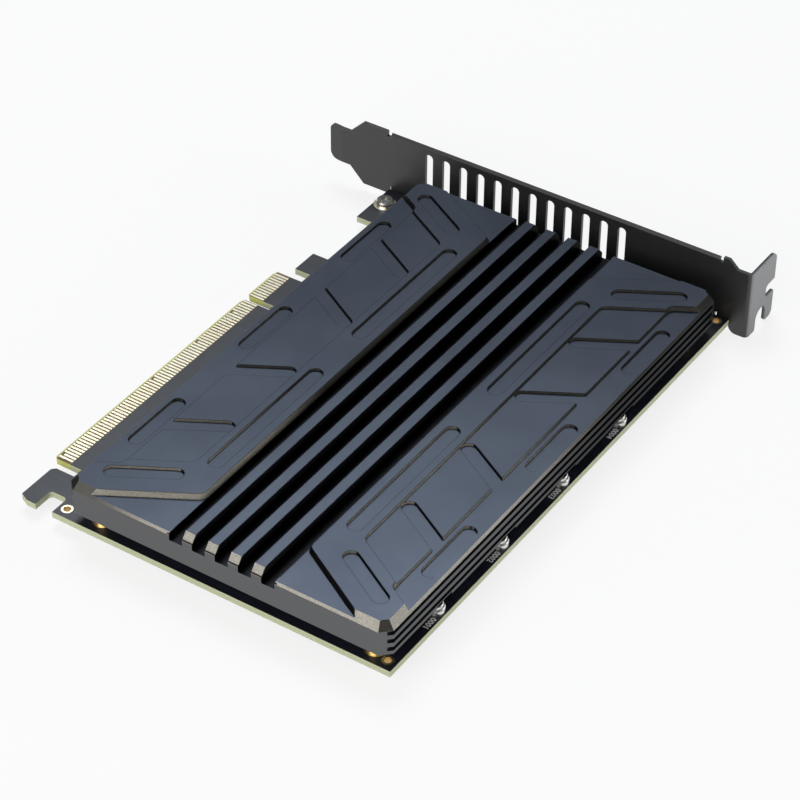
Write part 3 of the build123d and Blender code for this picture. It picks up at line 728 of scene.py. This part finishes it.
pads = bmesh.new()
for side in ("left", "right"):
    pad(pads, f"bracket_screw_{side}", board_top, BRACKET_PAD_RADIUS)
for i in range(1, 5):
    pad(pads, f"heatsink_screw_{i}", board_top, SLEEVE_PAD_RADIUS)
    pad(pads, f"heatsink_screw_{i}", board_bottom - RING_HEIGHT, HEAD_PAD_RADIUS)
add_piece("screw_pads", pads, FINISHES["contact_gold"])

# %% [markdown]
# ### Printed numbers
# The board is printed in white ink beside each post, so that a fitter can tell the bays apart. The ink is a
# film far thinner than a hair. A mask made of nodes can't write figures, but a text object gives the
# outline of each number. It is made a mesh, turned so that it reads towards the free end of the card, and
# laid on the board.

# %% White ink
INK_COLOURS = (rgb(0.70, 0.71, 0.71), rgb(0.90, 0.91, 0.90))


def white_ink():
    tree, shader, where = new_material("white_ink", Metallic=0.0, IOR=1.5)
    grit = grit_of(tree, where, grains=9000.0)
    colour = tree.mix(grit["Grain"], *INK_COLOURS)
    rough = tree.spread(grit["Grain"], low=0.5, high=0.65)
    relief = tree.bump(grit["Grain"], strength=0.2, distance=mm(0.01))
    feed(tree, shader, Base_Color=colour, Roughness=rough, Normal=relief)


white_ink()

# %% Numbers of the four bays
DIGIT_HEIGHT = mm(1.35)
DIGIT_SHARE = 0.7
INK_THICKNESS = mm(0.02)
INK_SPREAD = mm(0.03)
NUMBER_INSET = mm(1.6)
SAME_POINT = mm(0.001)
bay_numbers = bmesh.new()
for i in range(1, 5):
    text = bpy.data.curves.new("number_text", "FONT")
    text.body = f"000{i}"
    text.size = DIGIT_HEIGHT / DIGIT_SHARE
    text.extrude = INK_THICKNESS / 2
    text.offset = INK_SPREAD
    text.resolution_u = 2
    holder = bpy.data.objects.new("number_text", text)
    flat_text = bpy.data.meshes.new_from_object(holder)
    post_low, post_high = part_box(f"m2_standoff_{i}")
    start = Vector((post_high.x - NUMBER_INSET, post_low.y, board_top + INK_THICKNESS / 2))
    flat_text.transform(Matrix.Translation(start) @ Matrix.Rotation(-math.pi / 2, 4, "Z"))
    bay_numbers.from_mesh(flat_text)
    bpy.data.objects.remove(holder)
    bpy.data.meshes.remove(flat_text)
    bpy.data.curves.remove(text)
bmesh.ops.remove_doubles(bay_numbers, verts=bay_numbers.verts, dist=SAME_POINT)
add_piece("bay_numbers", bay_numbers, FINISHES["white_ink"])

# %% [markdown]
# ### Contacts and tails of the sockets
# Each socket holds a row of sprung contacts, one every half millimetre. Inside the slot each one is a
# small finger, and none stands where the module's key is. Behind the housing a full row of tails comes out
# and is soldered flat on the board. Both are plain stamped strips, so each is a small box, and the rows
# are made in loops.

# %% Rows of contacts
CONTACT_STEP = mm(0.5)
CONTACT_WIDTH = mm(0.22)
CONTACTS_PER_ROW = 37
TAIL_LENGTH = mm(1.1)
TAIL_HEIGHT = mm(0.18)
FINGER_LENGTH = mm(1.6)
FINGER_HEIGHT = mm(0.15)
FINGER_INSET = mm(0.6)
FINGER_RISE = mm(1.5)
KEY_PLACE = mm(6.1)
KEY_HALF_WIDTH = mm(0.9)


def strip(shape, low, high):
    """A box between two corners."""
    made = bmesh.ops.create_cube(shape, size=1.0)["verts"]
    bmesh.ops.scale(shape, verts=made, vec=high - low)
    bmesh.ops.translate(shape, verts=made, vec=(low + high) / 2)


tails = bmesh.new()
fingers = bmesh.new()
finger_floor = board_top + FINGER_RISE
for i in range(1, 5):
    low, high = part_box(f"m2_socket_{i}")
    centre = (low.y + high.y) / 2
    tip = high.x - FINGER_INSET
    for k in range(CONTACTS_PER_ROW):
        y = centre + (k - (CONTACTS_PER_ROW - 1) / 2) * CONTACT_STEP
        left, right = y - CONTACT_WIDTH / 2, y + CONTACT_WIDTH / 2
        tail_start = Vector((low.x - TAIL_LENGTH, left, board_top))
        strip(tails, tail_start, Vector((low.x, right, board_top + TAIL_HEIGHT)))
        if abs(y - centre - KEY_PLACE) > KEY_HALF_WIDTH:
            finger_start = Vector((tip - FINGER_LENGTH, left, finger_floor))
            strip(fingers, finger_start, Vector((tip, right, finger_floor + FINGER_HEIGHT)))
add_piece("socket_tails", tails, FINISHES["plated_steel"])
add_piece("socket_fingers", fingers, FINISHES["contact_gold"])

# %% [markdown]
# ## Floor, background and light
# The card lies on a pale floor. The background is plain white: what the camera sees of the world is white
# at a strength of one, and metal mirrors the same white low down, where the background is. The floor is a
# mix of a plain pale surface, which takes the card's soft shadow, and the same white. A long box in front
# lights the sloping walls, and a box high behind gives the level faces their sheen, which fades to the
# back. Two small boxes, low at the right, light the sides that face them. The rest of the studio is dim, so
# that the dark block keeps its depth.

# %% Floor
FLOOR_SIZE = 3.0
FLOOR_GREY = 0.86
WHITE_SHARE = 0.8
floor_shape = bmesh.new()
bmesh.ops.create_grid(floor_shape, x_segments=1, y_segments=1, size=FLOOR_SIZE)
bmesh.ops.translate(floor_shape, verts=floor_shape.verts, vec=(0, 0, cad_box[0].z))
floor_mesh = bpy.data.meshes.new("floor")
floor_shape.to_mesh(floor_mesh)
floor_shape.free()
floor = bpy.data.objects.new("floor", floor_mesh)
bpy.context.scene.collection.objects.link(floor)

floor_paint = bpy.data.materials.new("floor_paint")
floor_paint.use_nodes = True
floor_paint.node_tree.nodes.clear()
paint = Tree(floor_paint.node_tree)
rays = paint.add("ShaderNodeLightPath").outputs
seen = paint.math("ADD", rays["Is Camera Ray"], rays["Is Glossy Ray"], clamp=True)
seen = paint.math("ADD", seen, rays["Is Transmission Ray"], clamp=True)
matt = paint.add("ShaderNodeBsdfDiffuse", {"Color": grey(FLOOR_GREY)}).outputs[0]
white = paint.add("ShaderNodeEmission", {"Color": grey(1.0), "Strength": 1.0}).outputs[0]
layers = {0: paint.times(seen, WHITE_SHARE), 1: matt, 2: white}
mixed = paint.add("ShaderNodeMixShader", layers).outputs[0]
paint.add("ShaderNodeOutputMaterial", {"Surface": mixed})
floor_mesh.materials.append(floor_paint)
print("floor at mm", round(1000 * cad_box[0].z, 2))

# %% World
AMBIENT = 0.12
HORIZON = 0.2
world = bpy.data.worlds.new("studio")
bpy.context.scene.world = world
world.use_nodes = True
world.node_tree.nodes.clear()
sky = Tree(world.node_tree)
look = sky.add("ShaderNodeTexCoord").outputs["Generated"]
low_sky = sky.ramp(sky.axes(look)["Z"], HORIZON, HORIZON / 2)
rays = sky.add("ShaderNodeLightPath").outputs
sent_on = sky.math("ADD", rays["Is Glossy Ray"], rays["Is Transmission Ray"], clamp=True)
shown = sky.math("ADD", rays["Is Camera Ray"], sky.times(sent_on, low_sky), clamp=True)
soft = sky.add("ShaderNodeBackground", {"Color": grey(1.0), "Strength": AMBIENT}).outputs[0]
bright = sky.add("ShaderNodeBackground", {"Color": grey(1.0), "Strength": 1.0}).outputs[0]
both = sky.add("ShaderNodeMixShader", {0: shown, 1: soft, 2: bright}).outputs[0]
sky.add("ShaderNodeOutputWorld", {"Surface": both})
print("world", len(sky.tree.nodes), "nodes, dim light", AMBIENT)

# %% Lamps
LAMP_DISTANCE = 1.0
WARM_WHITE = (1.0, 0.985, 0.95)
COOL_WHITE = (0.9, 0.95, 1.0)
PLAIN_WHITE = (1, 1, 1)


def softbox(name, azimuth, elevation, size, power, colour):
    """A rectangular area lamp that looks at the card's middle."""
    lamp = bpy.data.lights.new(name, "AREA")
    lamp.shape = "RECTANGLE"
    lamp.size, lamp.size_y = size
    lamp.energy = power
    lamp.color = colour
    holder = bpy.data.objects.new(name, lamp)
    bpy.context.scene.collection.objects.link(holder)
    towards = direction(math.radians(azimuth), math.radians(elevation))
    holder.matrix_world = Matrix.Translation(middle + towards * LAMP_DISTANCE) @ facing(towards)
    print(name, power, "W")


softbox("front_box", azimuth=-2, elevation=28, size=(1.1, 0.85), power=8.6, colour=WARM_WHITE)
softbox("back_box", azimuth=219, elevation=62, size=(0.5, 0.5), power=5.6, colour=COOL_WHITE)
softbox("side_box", azimuth=130, elevation=18, size=(0.6, 0.35), power=1.0, colour=PLAIN_WHITE)
softbox("edge_box", azimuth=95, elevation=12, size=(0.5, 0.3), power=3.0, colour=PLAIN_WHITE)
bpy.context.scene.view_settings.view_transform = "Standard"
